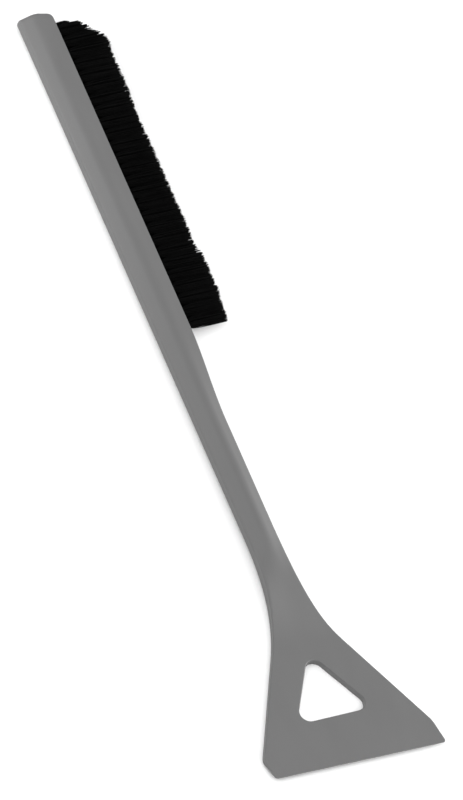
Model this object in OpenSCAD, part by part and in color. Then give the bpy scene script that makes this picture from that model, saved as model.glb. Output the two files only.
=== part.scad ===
// Windshield ice scraper with a snow brush: a one-piece moulding that carries
// two staggered rows of bristle tufts, each held in its hole by a wire anchor.
// It lies flat on Z = 0. +X runs from the brush toe to the cutting edge, and the
// bristles point along +Y. The origin is under the middle of the bounding box.

/* [Overall] */
// Length from the toe of the brush bar to the cutting edge
overall_l = 508; // [480:1:560]

/* [Scraper head] */
// Width of the cutting edge
blade_w = 108; // [98:1:116]
// Thickness of the flat head
plate_t = 4.8; // [4.2:0.1:6]
// Thickness left at the cutting edge
edge_t = 0.8; // [0.6:0.1:1.5]
// Length of the bevel under the cutting edge
bevel_l = 17; // [12:1:20]
// Length of the near-parallel sides behind the cutting edge
side_l = 15; // [12:0.5:18]
// Angle between a flared side and the centre line, in degrees
flare_angle = 26.7; // [25:0.1:28]
// How far the cutting edge is set over towards the bristle side
edge_set_over = 2.4; // [0:0.2:3]
// How far the other end of the cutting edge stands behind its bristle-side end
edge_skew = 1.8; // [0:0.2:3]
// Radius of the corners of the cutting edge
blade_corner_r = 2; // [1:0.5:4]

/* [Hanging hole] */
// Distance from the cutting edge to the hole's base side
hole_base_d = 31.8; // [28:0.2:36]
// Length of each side of the hole, before its corners are rounded
hole_side = 49.4; // [42:0.2:50]
// Radius of the hole's corners
hole_corner_r = 5.9; // [3:0.1:6]
// Distance of the hole from the centre line, towards the bristle side
hole_offset_y = -1; // [-2:0.5:2]

/* [Handle] */
// Width of the handle
handle_w = 18; // [17:0.1:19]
// Height of the handle at its ridge
handle_h = 14.1; // [13.8:0.1:15]
// Height of the handle's side walls, below the sloping facets
wall_h = 9.8; // [9:0.1:10.6]
// Share of each facet's width that the rounded ridge takes up
ridge_share = 0.4; // [0.15:0.05:0.45]
// Distance from the cutting edge to the place where the flare's curve starts
neck_start_d = 77; // [74:1:80]
// Distance from the cutting edge to the place where the neck becomes the handle
neck_end_d = 153; // [146:1:160]

/* [Brush bar] */
// Distance from the cutting edge to the end of the brush bar's land
land_end_d = 289; // [276:1:289]
// Length over which the land runs out into the handle
land_run_l = 62; // [40:1:66]
// Distance from the centre line to the face that carries the tufts
face_y = 11.2; // [10.8:0.1:12]
// Height of the upper edge of that face
face_h = 11.7; // [11.3:0.1:12.2]
// Radius of the toe's corner on the bristle side, in plan
toe_right_r = 5; // [4.5:0.5:5.5]
// Radius of the toe's other corner, in plan
toe_left_r = 0.8; // [0.5:0.1:2]
// Radius that rounds the toe's end down from the top
toe_round_r = 2.5; // [1:0.5:2.5]

/* [Bristles] */
// Tufts in each of the two rows
tufts_per_row = 26; // [10:1:26]
// Distance from the toe to the centre of the first tuft
first_tuft_d = 8.2; // [8:0.1:8.6]
// Distance between neighbouring tufts in a row
tuft_pitch = 8.12; // [7.8:0.01:8.14]
// Height of the lower row
lower_row_z = 3.6; // [3.5:0.1:3.8]
// Height of the upper row
upper_row_z = 8.7; // [8.5:0.1:8.9]
// Diameter of a tuft hole
tuft_hole_d = 4.5; // [4:0.1:4.6]
// Depth of a tuft hole
tuft_hole_depth = 9; // [7:0.5:10]
// Length of bristle outside the face
bristle_l = 26; // [24:0.1:30]
// Diameter of a tuft at its trimmed tip
tuft_tip_d = 6.2; // [4.6:0.1:6.3]
// Length along the bar of the slanting trim at the toe end of the brush
trim_l = 24; // [12:1:26]

/* [Tuft anchors] */
// Thickness of the flat anchor wire
anchor_t = 0.5; // [0.4:0.1:0.6]
// Depth of the flat anchor wire along the hole
anchor_depth = 1.7; // [1.4:0.1:2]
// Length of an anchor across its hole
anchor_l = 5.2; // [5:0.1:5.2]
// Bristle that folds under the anchor at the bottom of the hole
fold_t = 0.9; // [0.7:0.1:1.2]

/* [Hidden] */
toe_x = -overall_l / 2;
edge_x = overall_l / 2;
handle_half_w = handle_w / 2;
tip_y = face_y + bristle_l;
hole_bottom_y = face_y - tuft_hole_depth;
// Where the slanting trim meets the brush's straight edge
trim_x = toe_x + trim_l;
tuft_clearance = 0.05;
through = 1;

// Soft edge between the parallel sides and the flare, and the moulding's small radii
flare_blend = 1;
top_edge_r = 0.8;
handle_edge_r = 2;
under_edge_r = 5.5;
face_under_r = 1.5;
face_top_r = 0.6;
corner_steps = 3;
ridge_steps = 8;

// Colours
grey = [0.48, 0.48, 0.48];
black = [0.05, 0.05, 0.05];
steel = [0.7, 0.7, 0.72];

// 0 to 1 with level ends as x goes from a to b
function ease(x, a, b) =
    let (u = min(1, max(0, (x - a) / (b - a))))
    u * u * (3 - 2 * u);
function mix(a, b, u) = a + (b - a) * u;
// How far a quarter circle of radius r lies inside its corner at distance e
function round_in(e, r) = e >= r ? 0 : r - sqrt(r * r - (r - e) * (r - e));

// Half-width of the moulding at distance d from the cutting edge
flare_slope = tan(flare_angle);
function flared(d) =
    blade_w / 2 - flare_slope * flare_blend * ln(1 + exp((d - side_l) / flare_blend));
neck_rise = flared(neck_start_d) - handle_half_w;
neck_l = neck_end_d - neck_start_d;
neck_power = flare_slope * neck_l / neck_rise;
function necked(d) =
    handle_half_w + neck_rise * pow(max(0, (neck_end_d - d) / neck_l), neck_power);
function half_w(d) = d < neck_start_d ? flared(d) - round_in(d, blade_corner_r) : necked(d);
// 1 at the cutting edge, falling to 0 behind the near-parallel sides
function edge_part(d) = flare_blend * ln(1 + exp((side_l - d) / flare_blend)) / side_l;

// 0 on the flat head and 1 on the handle
function handle_part(d) = ease(d, neck_start_d + 4, neck_end_d + 4);
// 0 on the handle and 1 on the brush bar
function land_part(d) = ease(d, land_end_d - land_run_l, land_end_d);
// Distance from the toe
function from_toe(d) = overall_l - d;

// Points up one side of a section: its rounded lower corner, then its rounded upper corner,
// which turns from the wall to the facet
function wall_points(side, low, high, low_r, high_r, turn) =
    let (centre_z = high - high_r * tan(turn / 2))
    concat(
        [for (i = [0:corner_steps])
            let (a = 90 * i / corner_steps)
            [side - low_r * (1 - sin(a)), low + low_r * (1 - cos(a))]],
        [for (i = [0:corner_steps])
            let (a = turn * i / corner_steps)
            [side - high_r * (1 - cos(a)), centre_z + high_r * sin(a)]]
    );
function mirrored(points) = [for (i = [len(points) - 1:-1:0]) [-points[i][0], points[i][1]]];

// The ridge that rounds off the meeting of the two facets, which slope down from apex
function ridge_points(right, left, apex, wall_right, wall_left) =
    [for (i = [0:ridge_steps])
        let (u = i / ridge_steps, on_right = pow(1 - u, 2), on_left = u * u)
        [ridge_share * (on_right * right - on_left * left),
            apex - ridge_share * (on_right * (apex - wall_right) + on_left * (apex - wall_left))]];

// One cross-section at distance d from the cutting edge, as points [x, y, z]
function section(d) =
    let (
        h_part = handle_part(d),
        l_part = land_part(d),
        drop = round_in(from_toe(d), toe_round_r),
        top = mix(plate_t, handle_h, h_part) - drop,
        under = max(0, 1 - d / bevel_l) * (plate_t - edge_t),
        set_over = edge_set_over * edge_part(d),
        left = half_w(d) - round_in(from_toe(d), toe_left_r) - set_over,
        right = mix(half_w(d), face_y, l_part) - round_in(from_toe(d), toe_right_r) + set_over,
        wall_left = mix(top, wall_h - drop, h_part),
        wall_right = mix(wall_left, face_h - drop, l_part),
        apex = (top - ridge_share / 4 * (wall_left + wall_right)) / (1 - ridge_share / 2),
        plate_r = min(top_edge_r, (top - under) / 3),
        high_left = mix(plate_r, handle_edge_r, h_part),
        high_right = mix(high_left, face_top_r, l_part),
        low_left = min(mix(plate_r, under_edge_r, h_part), 0.6 * (wall_left - under)),
        low_right = mix(low_left, face_under_r, l_part),
        turn_left = 90 - atan2(apex - wall_left, left),
        turn_right = 90 - atan2(apex - wall_right, right),
        skew = edge_skew * edge_part(d) / (left + right),
        outline = concat(
            wall_points(right, under, wall_right, low_right, high_right, turn_right),
            ridge_points(right, left, apex, wall_right, wall_left),
            mirrored(wall_points(left, under, wall_left, low_left, high_left, turn_left))
        )
    )
    [for (p = outline) [edge_x - d - skew * (right - p[0]), p[0], p[1]]];

// Distances of the sections from the cutting edge: close together where the shape turns
function spread(a, b, count) = [for (i = [0:count - 1]) a + (b - a) * i / count];
stations = concat(
    [0, 0.25 * blade_corner_r, blade_corner_r],
    spread(side_l - 9, bevel_l, 4),
    spread(bevel_l, side_l + 10, 4),
    [side_l + 10],
    spread(neck_start_d, neck_end_d + 4, 16),
    [neck_end_d + 4],
    spread(land_end_d - land_run_l, land_end_d, 8),
    [land_end_d],
    [for (u = [1, 0.7, 0.45]) overall_l - toe_right_r * u],
    [for (u = [0.8, 0.5, 0.2, 0.05]) overall_l - toe_round_r * u],
    [overall_l]
);

// The solid between a list of closed sections
module loft(sections) {
    count = len(sections);
    ring = len(sections[0]);
    sides = [for (s = [0:count - 2]) for (i = [0:ring - 1])
        let (j = (i + 1) % ring, a = s * ring, b = (s + 1) * ring)
        each [[a + i, a + j, b + j], [a + i, b + j, b + i]]];
    first_cap = [[for (i = [ring - 1:-1:0]) i]];
    last_cap = [[for (i = [0:ring - 1]) (count - 1) * ring + i]];
    polyhedron([for (s = sections) each s], concat(sides, first_cap, last_cap), 10);
}

// The rounded triangle that goes through the head, apex towards the handle
module hanging_hole() {
    height = hole_side * sin(60);
    base_x = edge_x - hole_base_d;
    corner_x = base_x - hole_corner_r;
    corner_y = hole_side / 2 - hole_corner_r / tan(30);
    apex_x = base_x - height + 2 * hole_corner_r;
    translate([0, hole_offset_y, -through])
        linear_extrude(plate_t + 2 * through)
            hull() {
                translate([corner_x, corner_y]) circle(hole_corner_r, $fn = 32);
                translate([corner_x, -corner_y]) circle(hole_corner_r, $fn = 32);
                translate([apex_x, 0]) circle(hole_corner_r, $fn = 32);
            }
}

// Places its children at the bottom of tuft hole i of a row, looking out along +Y
row_z = [lower_row_z, upper_row_z];
function tuft_x(row, i) = toe_x + first_tuft_d + tuft_pitch * (i + row / 2);
module at_tuft(row, i) {
    translate([tuft_x(row, i), hole_bottom_y, row_z[row]])
        rotate([-90, 0, 0]) children();
}
module at_all_tufts() {
    for (row = [0, 1])
        for (i = [0:tufts_per_row - 1])
            at_tuft(row, i) children();
}

// Flat wire across a tuft hole, grown by a clearance on every side
module anchor(clearance = 0) {
    size = [anchor_t, anchor_l, anchor_depth] + 2 * clearance * [1, 1, 1];
    translate([0, 0, fold_t + anchor_depth / 2]) cube(size, center = true);
}

module body() {
    color(grey)
        difference() {
            loft([for (d = stations) section(d)]);
            hanging_hole();
            at_all_tufts() cylinder(tuft_hole_depth + through, d = tuft_hole_d, $fn = 32);
            at_all_tufts() anchor();
        }
}

// The corner that is trimmed off the toe end of the brush, along a slant of 45 degrees
module trimmed_corner() {
    translate([trim_x, tip_y, -through])
        rotate(45)
            translate([-2 * trim_l, 0, 0]) cube([4 * trim_l, 2 * trim_l, 2 * handle_h]);
}

// One bundle of bristles, folded round its anchor and spreading outside its hole
module bundle() {
    root_d = tuft_hole_d - 2 * tuft_clearance;
    difference() {
        union() {
            translate([0, 0, tuft_clearance])
                cylinder(tuft_hole_depth - tuft_clearance, d = root_d, $fn = 32);
            translate([0, 0, tuft_hole_depth])
                cylinder(bristle_l, d1 = root_d, d2 = tuft_tip_d, $fn = 32);
        }
        anchor(tuft_clearance);
    }
}

module tuft(row, i) {
    color(black)
        if (tuft_x(row, i) - tuft_tip_d / 2 > trim_x)
            at_tuft(row, i) bundle();
        else
            difference() {
                at_tuft(row, i) bundle();
                trimmed_corner();
            }
}

module tuft_anchors() {
    color(steel) at_all_tufts() anchor();
}

// Tufts are numbered from the toe, in each row
row_name = ["lower_tuft_", "upper_tuft_"];
function tuft_name(row, i) = str(row_name[row], i < 9 ? "0" : "", i + 1);

body();
tuft_anchors();
for (row = [0, 1])
    for (i = [0:tufts_per_row - 1])
        tuft(row, i);
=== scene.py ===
"""Looks for a windshield ice scraper with a side snow brush.

The body is a satin grey moulding, rebuilt here as a fine mesh with rounded rims, and each bristle
tuft is rebuilt as a bundle of black strands folded round its wire anchor. Lengths are in
millimetres until a mesh is made. d is the distance back from the cutting edge.
"""
import math
import random

import bpy
from mathutils import Matrix, Vector


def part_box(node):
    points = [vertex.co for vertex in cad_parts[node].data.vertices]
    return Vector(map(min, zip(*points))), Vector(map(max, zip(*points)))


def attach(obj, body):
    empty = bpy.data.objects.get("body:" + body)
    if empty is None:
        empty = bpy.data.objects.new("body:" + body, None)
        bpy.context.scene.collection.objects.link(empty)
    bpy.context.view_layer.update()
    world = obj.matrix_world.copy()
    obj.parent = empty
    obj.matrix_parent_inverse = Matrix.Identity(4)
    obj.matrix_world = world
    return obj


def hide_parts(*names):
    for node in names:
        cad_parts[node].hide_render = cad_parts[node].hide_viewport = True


MM = 0.001

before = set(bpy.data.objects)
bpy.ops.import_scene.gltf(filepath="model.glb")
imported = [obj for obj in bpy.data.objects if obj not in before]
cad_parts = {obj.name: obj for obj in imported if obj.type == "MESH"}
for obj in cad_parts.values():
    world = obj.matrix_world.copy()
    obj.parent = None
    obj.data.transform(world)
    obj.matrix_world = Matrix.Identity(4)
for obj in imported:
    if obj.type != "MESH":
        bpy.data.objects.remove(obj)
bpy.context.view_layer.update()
body_low, body_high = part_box("body")

# ---------------------------------------------------------------- driving dimensions
overall_l = (body_high.x - body_low.x) / MM
edge_x = body_high.x / MM
toe_x = body_low.x / MM

# Scraper head
blade_w = 108
plate_t = 4.8
edge_t = 0.8
bevel_l = 17
side_l = 15
flare_angle = math.radians(26.7)
flare_blend = 1.0
blade_corner_r = 2
edge_set_over = 2.4
edge_skew = 1.8
cutting_edge_r = 0.25

# Hanging hole
hole_base_d = 31.8
hole_side = 49.4
hole_corner_r = 5.9
hole_offset_y = -1
hole_rim_r = 0.7

# Handle and brush bar
handle_w = 18
handle_h = 14.1
wall_h = 9.8
handle_edge_r = 2
ridge_share = 0.4
neck_start_d = 77
neck_end_d = 153
land_end_d = 289
land_run_l = 62
face_y = 11.2
face_h = 11.7
toe_round_r = 2.5
toe_left_r = 0.8
toe_right_r = 5
top_edge_r = 0.8
under_edge_r = 5.5
face_under_r = 1.5
face_top_r = 0.6
parting_ridge = 0.06
parting_half_w = 0.15

# Bristles
tufts_per_row = 26
first_tuft_d = 8.2
tuft_pitch = 8.12
row_z = {"lower": 3.6, "upper": 8.7}
tuft_hole_d = 4.5
tuft_hole_depth = 9
hole_chamfer = 0.3
bristle_l = 26
tuft_tip_d = 6.2
trim_l = 24
strands_per_tuft = 50
strand_r = 0.2
# Distance from the toe, and how much longer or shorter than nominal the bristles are there
tip_wear = [(0, 3.2), (20, 2.8), (34, 0.9), (48, 0.5), (80, -1.2), (110, -0.6),
            (140, -0.7), (166, -1.4), (175, 0.7), (192, 0.6), (206, -0.4), (222, -1.8)]
tip_y = face_y + bristle_l
hole_bottom_y = face_y - tuft_hole_depth

# Looks
body_grey = 0.119
world_strength = 0.4


# ---------------------------------------------------------------- small helpers
def ease(x, a, b):
    """0 to 1 with level ends as x goes from a to b."""
    u = min(1.0, max(0.0, (x - a) / (b - a)))
    return u * u * (3 - 2 * u)


def mix(a, b, u):
    return a + (b - a) * u


def round_in(e, r):
    """How far a quarter circle of radius r lies inside its corner at distance e."""
    return 0.0 if e >= r else r - math.sqrt(max(0.0, r * r - (r - e) ** 2))


def soft_ramp(x):
    """0 well below zero and x well above it, with a smooth bend between."""
    return max(0.0, x) + math.log1p(math.exp(-abs(x)))


def spread(a, b, count):
    """Evenly spaced values from a, stopping one step before b."""
    return [a + (b - a) * i / count for i in range(count)]


def new_object(name, vertices, faces):
    """A mesh object made from points in millimetres."""
    mesh = bpy.data.meshes.new(name)
    mesh.from_pydata([(x * MM, y * MM, z * MM) for x, y, z in vertices], [], faces)
    mesh.validate()
    piece = bpy.data.objects.new(name, mesh)
    bpy.context.scene.collection.objects.link(piece)
    return piece


def settle(piece):
    """Applies the piece's modifiers to its mesh."""
    bpy.context.view_layer.update()
    graph = bpy.context.evaluated_depsgraph_get()
    mesh = bpy.data.meshes.new_from_object(piece.evaluated_get(graph))
    piece.modifiers.clear()
    piece.data = mesh


def cut(piece, cutter):
    """Takes the cutter's solid out of the piece, and removes the cutter."""
    modifier = piece.modifiers.new("cut", "BOOLEAN")
    modifier.operation = "DIFFERENCE"
    modifier.solver = "EXACT"
    modifier.object = cutter
    settle(piece)
    bpy.data.objects.remove(cutter)


def join_rings(rings, offset=0):
    """Faces of the closed solid that runs through rings with equal numbers of points."""
    ring = len(rings[0])
    faces = []
    for s in range(len(rings) - 1):
        a = offset + s * ring
        b = a + ring
        faces += [(a + i, a + (i + 1) % ring, b + (i + 1) % ring, b + i) for i in range(ring)]
    faces.append(tuple(offset + i for i in reversed(range(ring))))
    last = offset + (len(rings) - 1) * ring
    faces.append(tuple(last + i for i in range(ring)))
    return faces


def solid(name, ring_sets):
    """One object from several separate solids, each a list of rings."""
    vertices, faces = [], []
    for rings in ring_sets:
        faces += join_rings(rings, len(vertices))
        vertices += [p for ring in rings for p in ring]
    return new_object(name, vertices, faces)


# ---------------------------------------------------------------- the grey moulding
def flared(d):
    """Half-width of the head, which narrows behind its near-parallel sides."""
    return blade_w / 2 - math.tan(flare_angle) * flare_blend * soft_ramp((d - side_l) / flare_blend)


neck_rise = flared(neck_start_d) - handle_w / 2
neck_l = neck_end_d - neck_start_d
neck_power = math.tan(flare_angle) * neck_l / neck_rise


def half_w(d):
    """Half-width of the moulding at distance d from the cutting edge."""
    if d < neck_start_d:
        return flared(d) - round_in(d, blade_corner_r)
    return handle_w / 2 + neck_rise * max(0, (neck_end_d - d) / neck_l) ** neck_power


def edge_part(d):
    """1 at the cutting edge, falling to 0 behind the near-parallel sides."""
    return flare_blend * soft_ramp((side_l - d) / flare_blend) / side_l


def wall_points(side, low, high, corner_r, turn, seam_r):
    """Points up one side: the rounded lower corner, the parting line and the rounded upper corner.

    turn is the angle in degrees through which the upper corner turns, from the wall to the top.
    """
    steps = 8
    top_z = high - corner_r * math.tan(math.radians(turn / 2))
    points = []
    for i in range(steps + 1):
        a = math.radians(90 * i / steps)
        points.append((side - seam_r * (1 - math.sin(a)), low + seam_r * (1 - math.cos(a))))
    wall_low = low + seam_r
    seam_share = 0.35
    seam_z = mix(wall_low, top_z, seam_share)
    half_seam = min(parting_half_w, (top_z - wall_low) / 4)
    ridge = parting_ridge * half_seam / parting_half_w
    points += [(side, seam_z - half_seam), (side + ridge, seam_z), (side, seam_z + half_seam)]
    for i in range(steps + 1):
        a = math.radians(turn * i / steps)
        points.append((side - corner_r * (1 - math.cos(a)), top_z + corner_r * math.sin(a)))
    return points


def between(start, end, steps):
    """Points that divide a straight line into equal steps, without its two ends."""
    return [tuple(mix(a, b, i / steps) for a, b in zip(start, end)) for i in range(1, steps)]


def section(d):
    """The cross-section at distance d from the cutting edge, as one ring of points."""
    from_toe = overall_l - d
    h_part = ease(d, neck_start_d + 4, neck_end_d + 4)
    l_part = ease(d, land_end_d - land_run_l, land_end_d)
    drop = round_in(from_toe, toe_round_r)
    edge_round = round_in(d, cutting_edge_r)
    top = mix(plate_t, handle_h, h_part) - drop - edge_round
    under = max(0, 1 - d / bevel_l) * (plate_t - edge_t) + edge_round
    set_over = edge_set_over * edge_part(d)
    left = half_w(d) - round_in(from_toe, toe_left_r) - set_over
    right = mix(half_w(d), face_y, l_part) - round_in(from_toe, toe_right_r) + set_over
    wall_left = mix(top, wall_h - drop, h_part)
    wall_right = mix(wall_left, face_h - drop, l_part)
    plate_r = min(top_edge_r, (top - under) / 3)
    corner_r = mix(plate_r, handle_edge_r, h_part)
    corner_right = mix(corner_r, face_top_r, l_part)
    r_left = min(mix(plate_r, under_edge_r, h_part), 0.6 * (wall_left - under))
    r_right = mix(r_left, face_under_r, l_part)

    apex = (top - ridge_share / 4 * (wall_left + wall_right)) / (1 - ridge_share / 2)
    turn_left = 90 - math.degrees(math.atan2(apex - wall_left, left))
    turn_right = 90 - math.degrees(math.atan2(apex - wall_right, right))
    ridge_right = (ridge_share * right, apex - ridge_share * (apex - wall_right))
    ridge_left = (-ridge_share * left, apex - ridge_share * (apex - wall_left))
    outline = wall_points(right, under, wall_right, corner_right, turn_right, r_right)
    facet_steps, ridge_steps, under_steps = 6, 16, 8
    outline += between(outline[-1], ridge_right, facet_steps)
    for i in range(ridge_steps + 1):
        u = i / ridge_steps
        outline.append(((1 - u) ** 2 * ridge_right[0] + u * u * ridge_left[0],
                        (1 - u) ** 2 * ridge_right[1] + 2 * u * (1 - u) * apex + u * u * ridge_left[1]))
    left_wall = wall_points(left, under, wall_left, corner_r, turn_left, r_left)
    left_side = [(-y, z) for y, z in reversed(left_wall)]
    outline += between(ridge_left, left_side[0], facet_steps)
    outline += left_side
    outline += between((-left + r_left, under), (right - r_right, under), under_steps)

    skew = edge_skew * edge_part(d) / (left + right)
    return [(edge_x - d - skew * (right - y), y, z) for y, z in outline]


def stations():
    """Distances of the sections from the cutting edge, close together where the shape turns."""
    edge = [0, 0.02, 0.06, 0.12, 0.25, 0.5, 0.8, 1.2, 1.6]
    head = spread(blade_corner_r, side_l + 11, 24) + spread(side_l + 11, neck_start_d, 12)
    neck = spread(neck_start_d, neck_end_d + 4, 40)
    handle = spread(neck_end_d + 4, land_end_d - land_run_l, 10)
    bar = spread(land_end_d - land_run_l, land_end_d, 20)
    bar += spread(land_end_d, overall_l - toe_right_r, 27)
    toe_steps = 18
    turns = [math.pi / 2 * i / toe_steps for i in range(toe_steps + 1)]
    toe = [overall_l - toe_right_r * (1 - math.sin(a)) for a in turns]
    return edge + head + neck + handle + bar + toe


def hole_outline(grown, z):
    """The hanging hole's rounded triangle at height z, grown outwards by a distance."""
    height = hole_side * math.sin(math.radians(60))
    base_x = edge_x - hole_base_d
    corner_x = base_x - hole_corner_r
    corner_y = hole_side / 2 - hole_corner_r / math.tan(math.radians(30))
    centres = [(corner_x, corner_y, 0), (base_x - height + 2 * hole_corner_r, 0, 120),
               (corner_x, -corner_y, 240)]
    arc_steps = 20
    points = []
    for x, y, start in centres:
        for i in range(arc_steps + 1):
            a = math.radians(start + 120 * i / arc_steps)
            r = hole_corner_r + grown
            points.append((x + r * math.cos(a), y + hole_offset_y + r * math.sin(a), z))
    return points


def hole_cutter():
    """A prism through the head whose ends flare, so that the rims come out rounded."""
    steps = 6
    rim = [math.radians(90 * i / steps) for i in range(steps + 1)]
    low = [(hole_rim_r * (1 - math.sin(a)), hole_rim_r * (1 - math.cos(a))) for a in rim]
    rings = [hole_outline(hole_rim_r, -1)] + [hole_outline(grown, z) for grown, z in low]
    rings += [hole_outline(grown, plate_t - z) for grown, z in reversed(low)]
    rings.append(hole_outline(hole_rim_r, plate_t + 1))
    return solid("hole_cutter", [rings])


def circle_y(x, y, z, r, count=40):
    """A circle of points round an axis along +Y."""
    turn = 2 * math.pi / count
    return [(x + r * math.sin(turn * i), y, z + r * math.cos(turn * i)) for i in range(count)]


def tuft_x(row, i):
    """Where tuft i of a row stands along the bar. The upper row is half a pitch further on."""
    return toe_x + first_tuft_d + tuft_pitch * (i + (0.5 if row == "upper" else 0))


def tuft_hole_cutter():
    """Every tuft hole, with a small chamfer at its mouth."""
    r = tuft_hole_d / 2
    profile = [(hole_bottom_y, r), (face_y - hole_chamfer, r), (face_y, r + hole_chamfer),
               (face_y + 1, r + hole_chamfer)]
    holes = []
    for row, z in row_z.items():
        for i in range(tufts_per_row):
            holes.append([circle_y(tuft_x(row, i), y, z, size) for y, size in profile])
    return solid("tuft_hole_cutter", holes)


def ejector_cutter():
    """Shallow round marks that ejector pins leave on the underside."""
    r, depth, count = 2.5, 0.12, 40
    places = [(edge_x - 24, 34), (edge_x - 24, -34), (edge_x - 88, 0)]
    places += [(edge_x - d, 0) for d in (130, 190, 250, 310, 370, 430, 490)]
    marks = []
    for x, y in places:
        turn = 2 * math.pi / count
        ring = [(x + r * math.cos(turn * i), y + r * math.sin(turn * i)) for i in range(count)]
        marks.append([[(px, py, z) for px, py in ring] for z in (-1, depth)])
    return solid("ejector_cutter", marks)


def smooth_shading(piece, sharp_angle):
    """Smooth shading that keeps edges sharper than an angle in degrees."""
    mesh = piece.data
    mesh.polygons.foreach_set("use_smooth", [True] * len(mesh.polygons))
    mesh.set_sharp_from_angle(angle=math.radians(sharp_angle))
    weighted = piece.modifiers.new("weighted", "WEIGHTED_NORMAL")
    weighted.keep_sharp = True
    settle(piece)


def make_body():
    """The whole moulding, with its hole, tuft holes and ejector marks."""
    piece = solid("scraper_body", [[section(d) for d in stations()]])
    cut(piece, hole_cutter())
    cut(piece, tuft_hole_cutter())
    cut(piece, ejector_cutter())
    smooth_shading(piece, 40)
    return piece


# ---------------------------------------------------------------- the bristles
def tube(path, radii, sides, vertices, faces):
    """Adds a closed tube along a path of points to the lists."""
    start = len(vertices)
    points = [Vector(p) for p in path]
    along = (points[1] - points[0]).normalized()
    side = along.orthogonal().normalized()
    for k, p in enumerate(points):
        ahead = points[min(k + 1, len(points) - 1)] - points[max(k - 1, 0)]
        along = ahead.normalized()
        side = (side - along * side.dot(along)).normalized()
        other = along.cross(side)
        for i in range(sides):
            a = 2 * math.pi * i / sides
            vertices.append(p + (side * math.cos(a) + other * math.sin(a)) * radii[k])
    for k in range(len(points) - 1):
        a = start + k * sides
        b = a + sides
        for i in range(sides):
            j = (i + 1) % sides
            faces.append((a + i, a + j, b + j, b + i))
    faces.append(tuple(start + i for i in reversed(range(sides))))
    last = start + (len(points) - 1) * sides
    faces.append(tuple(last + i for i in range(sides)))


def brush_edge(x):
    """How far out the tips reach along the bar: a slanting trim at the toe, then a worn, wavy line."""
    along = x - toe_x
    worn = 0
    for (a, low), (b, high) in zip(tip_wear, tip_wear[1:]):
        if a <= along < b:
            worn = mix(low, high, ease(along, a, b))
    return tip_y - soft_ramp(trim_l - along) + worn


def strand_side(x, z, dx, dz, reach, dice):
    """One half of a strand, from the mouth of its hole to its tip.

    x and z are the hole's centre, dx and dz the strand's place in it, and reach its extra length.
    """
    fan_x, fan_z, fan_l = 2.05, 1.3, 2.6
    lowest_z = 0.35
    lean_x, lean_z = dice.gauss(0, 0.3), dice.gauss(0, 0.18)
    bow = dice.gauss(0, 0.15)
    end_x = x + dx * fan_x + lean_x
    length = brush_edge(end_x) + reach - face_y + dice.gauss(0, 0.14)
    path = []
    for share in (0, 0.06, 0.14, 0.26, 0.45, 0.7, 0.97, 1):
        s = length * share
        fan = 1 - math.exp(-s / fan_l)
        path.append((x + dx * mix(1, fan_x, fan) + lean_x * share ** 1.5 + bow * math.sin(math.pi * share),
                     face_y + s,
                     max(lowest_z, z + dz * mix(1, fan_z, fan) + lean_z * share ** 1.5)))
    return path


def make_tuft(row, i):
    """A bundle of strands. Each goes down its hole, round under the anchor and out again."""
    dice = random.Random(f"{row} {i}")
    x, z = tuft_x(row, i), row_z[row]
    golden_angle = math.radians(137.5)
    hole_clearance = 0.05
    pack_r = tuft_hole_d / 2 - strand_r - hole_clearance
    anchor_half_t, deepest, bend_r = 0.25, 0.3, 1.0
    tip_r, strand_sides = 0.6 * strand_r, 5
    reach = dice.gauss(0, 0.3)
    vertices, faces = [], []
    places = 2 * strands_per_tuft
    # Places spiral out from the middle. A strand takes one on the right and its mirror on the left.
    for k in range(places):
        r = pack_r * math.sqrt((k + 0.5) / places)
        a = golden_angle * k
        dx, dz = r * math.cos(a), r * math.sin(a)
        if dx < 0:
            continue
        dx = max(dx, anchor_half_t + strand_r)
        nest = deepest + 0.5 * (1 - dx / pack_r)
        root_y = hole_bottom_y + nest + bend_r
        turn = [(x + dx * math.cos(t), root_y - bend_r * math.sin(t), z + dz)
                for t in (math.radians(36 * q) for q in range(1, 5))]
        first = strand_side(x, z, dx, dz, reach, dice)
        second = strand_side(x, z, -dx, dz, reach, dice)
        path = list(reversed(first)) + [(x + dx, root_y, z + dz)] + turn
        path += [(x - dx, root_y, z + dz)] + second
        radii = [strand_r] * len(path)
        radii[0] = radii[-1] = tip_r
        tube(path, radii, strand_sides, vertices, faces)
    piece = new_object(f"bristles_{row}_{i + 1:02d}", vertices, faces)
    piece.data.polygons.foreach_set("use_smooth", [True] * len(piece.data.polygons))
    return piece


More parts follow.
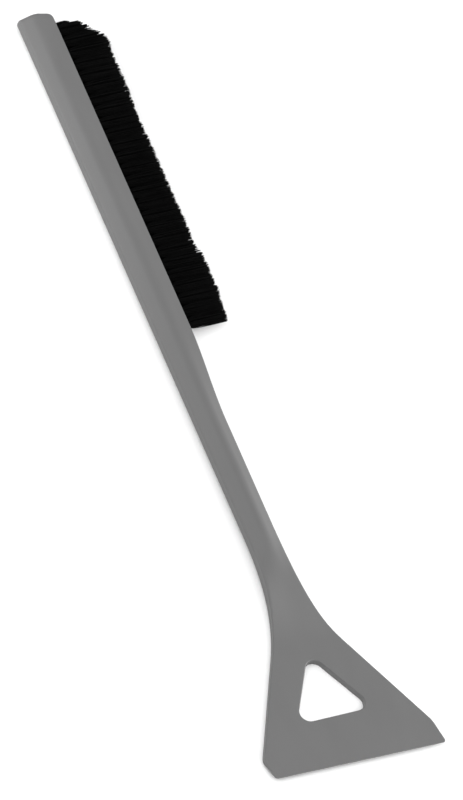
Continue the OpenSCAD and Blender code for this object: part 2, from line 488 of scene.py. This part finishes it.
# ---------------------------------------------------------------- materials
class Nodes:
    """Short names for building one material's node tree."""

    def __init__(self, name):
        self.material = bpy.data.materials.new(name)
        self.material.use_nodes = True
        self.tree = self.material.node_tree
        self.shader = self.tree.nodes["Principled BSDF"]

    def add(self, kind, **inputs):
        node = self.tree.nodes.new("ShaderNode" + kind)
        for name, value in inputs.items():
            self.put(value, node.inputs[name.replace("_", " ")])
        return node

    def put(self, value, socket):
        if isinstance(value, bpy.types.NodeSocket):
            self.tree.links.new(value, socket)
        else:
            socket.default_value = value

    def place(self):
        return self.add("TexCoord").outputs["Object"]

    def noise(self, place, scale, detail=2.0, roughness=0.5):
        node = self.add("TexNoise", Vector=place, Scale=scale, Detail=detail, Roughness=roughness)
        return node.outputs["Fac"]

    def remap(self, value, low, high, to_low, to_high):
        node = self.add("MapRange", Value=value)
        for name, number in zip(("From Min", "From Max", "To Min", "To Max"), (low, high, to_low, to_high)):
            node.inputs[name].default_value = number
        return node.outputs["Result"]

    def math(self, operation, a, b):
        node = self.tree.nodes.new("ShaderNodeMath")
        node.operation = operation
        self.put(a, node.inputs[0])
        self.put(b, node.inputs[1])
        return node.outputs[0]

    def blend(self, share, a, b):
        node = self.tree.nodes.new("ShaderNodeMix")
        node.data_type = "RGBA"
        self.put(share, node.inputs["Factor"])
        self.put(a, node.inputs[6])
        self.put(b, node.inputs[7])
        return node.outputs[2]

    def stretch(self, place, x, y, z):
        node = self.add("Mapping", Vector=place)
        node.inputs["Scale"].default_value = (x, y, z)
        return node.outputs["Vector"]

    def bump(self, height, strength, distance):
        node = self.add("Bump", Height=height, Strength=strength, Distance=distance)
        self.put(node.outputs["Normal"], self.shader.inputs["Normal"])


def grey(value):
    return (value, value, value, 1)


def moulded_grey():
    """Satin grey plastic: soft flow clouding, a fine spark grain, and faint scratches by the cutting edge."""
    n = Nodes("moulded_grey")
    place = n.place()
    cloud = n.noise(n.stretch(place, 1, 3, 3), 22, 3)
    speck = n.noise(place, 1400, 2)
    shade = n.math("ADD", n.remap(cloud, 0.3, 0.7, 0, 0.7), n.remap(speck, 0.3, 0.7, 0, 0.3))
    colour = n.blend(shade, grey(body_grey * 0.965), grey(body_grey * 1.035))

    x = n.add("SeparateXYZ", Vector=place).outputs["X"]
    near_edge = n.remap(x, (edge_x - 14) * MM, (edge_x - 1) * MM, 0, 1)
    lines = n.noise(n.stretch(place, 0.04, 1, 1), 2600, 2)
    scratch = n.math("MULTIPLY", n.remap(lines, 0.62, 0.72, 0, 1), near_edge)
    colour = n.blend(n.math("MULTIPLY", scratch, 0.25), colour, grey(body_grey * 1.5))
    n.put(colour, n.shader.inputs["Base Color"])

    n.put(n.math("ADD", n.remap(cloud, 0.3, 0.7, 0.46, 0.54), n.math("MULTIPLY", scratch, 0.12)),
          n.shader.inputs["Roughness"])
    n.shader.inputs["Specular IOR Level"].default_value = 0.4
    grain = n.noise(place, 2400, 3, 0.6)
    n.bump(grain, 0.16, 0.00008)
    return n.material


def black_nylon():
    """Near-black strands, a little duller towards worn tips."""
    n = Nodes("black_nylon")
    place = n.place()
    y = n.add("SeparateXYZ", Vector=place).outputs["Y"]
    wear = n.remap(y, (tip_y - 6) * MM, tip_y * MM, 0, 1)
    streak = n.noise(n.stretch(place, 1, 0.05, 1), 1800, 2)
    shade = n.math("ADD", n.math("MULTIPLY", wear, 0.3), n.remap(streak, 0.3, 0.7, 0, 0.7))
    colour = n.blend(shade, grey(0.0008), grey(0.004))
    n.put(colour, n.shader.inputs["Base Color"])
    n.put(n.remap(streak, 0.3, 0.7, 0.42, 0.62), n.shader.inputs["Roughness"])
    n.shader.inputs["Specular IOR Level"].default_value = 0.035
    n.bump(n.noise(n.stretch(place, 1, 0.02, 1), 6000, 1), 0.1, 0.00003)
    return n.material


def drawn_steel():
    """Flat anchor wire with fine drawing lines."""
    n = Nodes("drawn_steel")
    place = n.place()
    lines = n.noise(n.stretch(place, 1, 1, 0.04), 5200, 2)
    n.put(n.blend(lines, grey(0.46), grey(0.62)), n.shader.inputs["Base Color"])
    n.put(n.remap(lines, 0.3, 0.7, 0.28, 0.42), n.shader.inputs["Roughness"])
    n.shader.inputs["Metallic"].default_value = 1
    n.bump(lines, 0.2, 0.00002)
    return n.material


def pale_floor():
    """Matte, nearly white, with a faint mottle."""
    n = Nodes("pale_floor")
    mottle = n.noise(n.place(), 3, 2)
    n.put(n.blend(mottle, grey(0.93), grey(0.95)), n.shader.inputs["Base Color"])
    n.shader.inputs["Roughness"].default_value = 0.9
    n.shader.inputs["Specular IOR Level"].default_value = 0.1
    return n.material


# ---------------------------------------------------------------- stage, light and camera
def make_floor():
    half = 3000
    corners = [(-half, -half, 0), (half, -half, 0), (half, half, 0), (-half, half, 0)]
    floor = new_object("floor", corners, [(0, 1, 2, 3)])
    floor.data.materials.append(pale_floor())


def view_axes(azimuth, elevation, roll):
    """Right, up and back of a camera, from angles in degrees."""
    a, e, r = (math.radians(v) for v in (azimuth, elevation, roll))
    back = Vector((math.sin(a) * math.cos(e), -math.cos(a) * math.cos(e), math.sin(e)))
    level = Vector((math.cos(a), math.sin(a), 0))
    upright = back.cross(level)
    right = level * math.cos(r) + upright * math.sin(r)
    return right, back.cross(right), back


def stand(thing, place, axes):
    """Puts a camera or lamp at a place, looking against its third axis."""
    right, up, back = axes
    turn = Matrix((right, up, back)).transposed().to_4x4()
    thing.matrix_world = Matrix.Translation(place) @ turn


def make_camera():
    """A long lens looking down on the scraper, which runs from upper left to lower right."""
    aim = Vector((14.1, 18.3, 7)) * MM
    distance = 10.101
    axes = view_axes(44.77, 55.28, 26.89)
    data = bpy.data.cameras.new("camera")
    data.sensor_width = 36
    data.lens = 792.25
    data.clip_end = 100
    camera = bpy.data.objects.new("camera", data)
    bpy.context.scene.collection.objects.link(camera)
    stand(camera, aim + axes[2] * distance, axes)
    bpy.context.scene.camera = camera


def soft_light(name, target, azimuth, elevation, distance, size, power):
    """A rectangular lamp that faces target, in millimetres, from a bearing in degrees round it.

    distance and size are in metres, and power is in watts.
    """
    data = bpy.data.lights.new(name, "AREA")
    data.shape = "RECTANGLE"
    data.size, data.size_y = size
    data.energy = power
    lamp = bpy.data.objects.new(name, data)
    bpy.context.scene.collection.objects.link(lamp)
    axes = view_axes(azimuth, elevation, 0)
    stand(lamp, Vector(target) * MM + axes[2] * distance, axes)


def make_light():
    """Soft studio light: broad lamps overhead and round the tool, and two small ones near it."""
    world = bpy.data.worlds.new("studio")
    world.use_nodes = True
    background = world.node_tree.nodes["Background"]
    background.inputs["Color"].default_value = (1, 1, 1, 1)
    background.inputs["Strength"].default_value = world_strength
    bpy.context.scene.world = world
    middle, head_side, toe = (0, 0, 0), (60, 0, 0), (-240, 0, 0)
    soft_light("overhead", middle, 0, 89, 2.2, (2.4, 2.4), 3.5)
    soft_light("high_left", middle, 0, 60, 2.0, (1.5, 1.5), 12.5)
    soft_light("high_right", middle, 180, 60, 2.0, (1.5, 1.5), 2.2)
    soft_light("high_head", middle, 90, 60, 2.0, (1.5, 1.5), 15.5)
    soft_light("side_left", middle, 0, 35, 1.6, (1.5, 0.6), 5.4)
    soft_light("side_right", middle, 165, 35, 1.6, (1.5, 0.6), 7.7)
    soft_light("low_right", head_side, 160, 9, 0.8, (0.9, 0.2), 6.0)
    soft_light("toe_left", toe, -10, 35, 0.3, (0.15, 0.15), 0.5)
    bpy.context.scene.view_settings.view_transform = "Standard"


# ---------------------------------------------------------------- put it together
make_camera()

body = make_body()
body.data.materials.clear()
body.data.materials.append(moulded_grey())
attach(body, "root")
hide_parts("body")

nylon = black_nylon()
for row in row_z:
    for i in range(tufts_per_row):
        tuft = make_tuft(row, i)
        tuft.data.materials.append(nylon)
        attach(tuft, "root")
        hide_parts(f"{row}_tuft_{i + 1:02d}")

steel = drawn_steel()
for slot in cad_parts["tuft_anchors"].material_slots:
    slot.material = steel

make_floor()
make_light()
